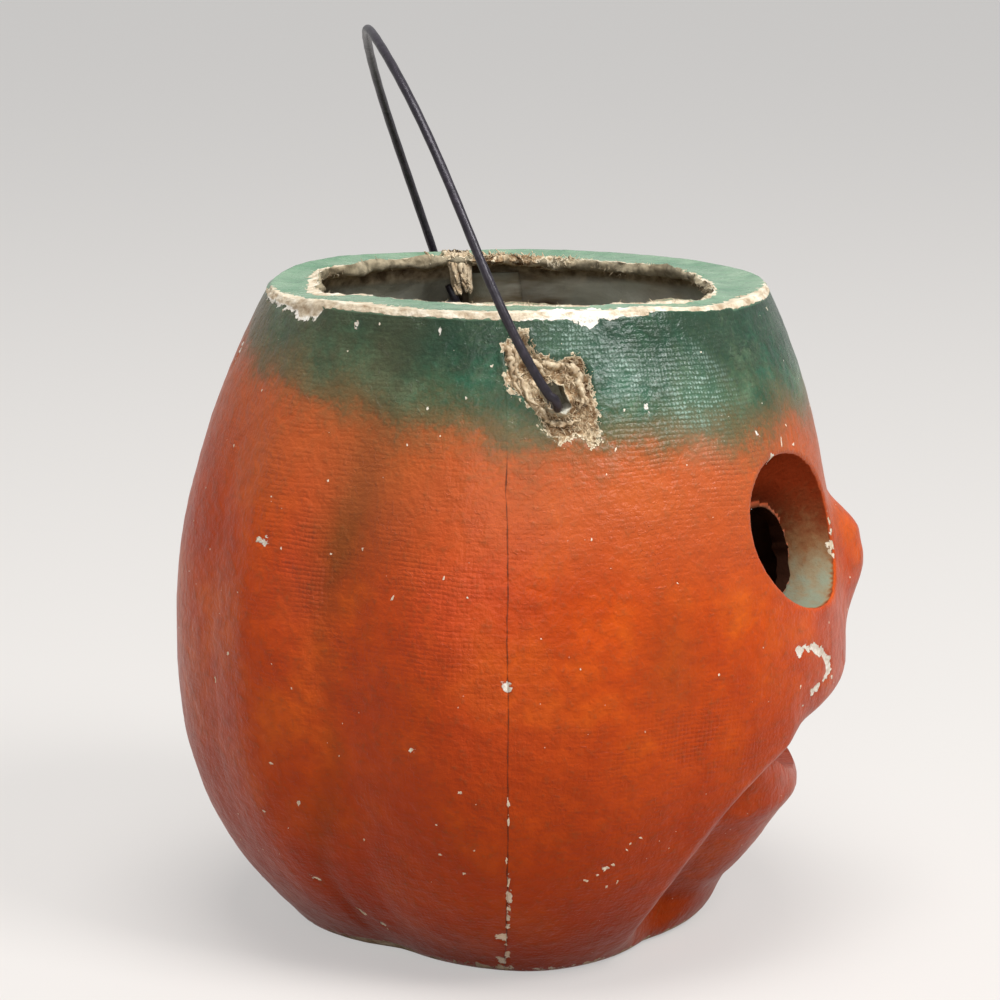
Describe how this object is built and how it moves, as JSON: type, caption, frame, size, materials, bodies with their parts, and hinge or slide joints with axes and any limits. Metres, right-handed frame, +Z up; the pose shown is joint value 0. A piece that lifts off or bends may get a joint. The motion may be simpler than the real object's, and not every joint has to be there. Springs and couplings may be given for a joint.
{
  "type": "jack-o-lantern",
  "caption": "Small moulded-pulp pumpkin lantern with a smiling face, open top with a turned-in rim, and a swinging wire bail.",
  "frame": {"origin": "centre of the top mouth's circle, set down on the flat underside that the lantern stands on", "axes": "+Z up; -Y is the way the face looks; -X is the side whose bail hole is torn wide"},
  "size_m": [0.1244, 0.1273, 0.1655],
  "materials": {
    "front_paint": "gloss-painted moulded pulp",
    "back_paint": "gloss-painted moulded pulp",
    "black_wire": "dark lacquer",
    "left_strip_pulp": "bare pulp",
    "right_strip_pulp": "bare pulp",
    "base_strip_pulp": "bare pulp"
  },
  "bodies": {
    "lantern": {"front_shell": "front_paint", "back_shell": "back_paint", "seam_strip_left": "left_strip_pulp", "seam_strip_right": "right_strip_pulp", "seam_strip_base": "base_strip_pulp"},
    "bail": {"bail_wire": "black_wire"}
  },
  "joints": [
    {"name": "bail_swing", "type": "hinge", "parent": "lantern", "child": "bail", "pos_m": [-0.00139, 0.00335, 0.10635], "axis": [0.9852, 0.168, 0.0329], "range_deg": [-78, 112]}
  ]
}
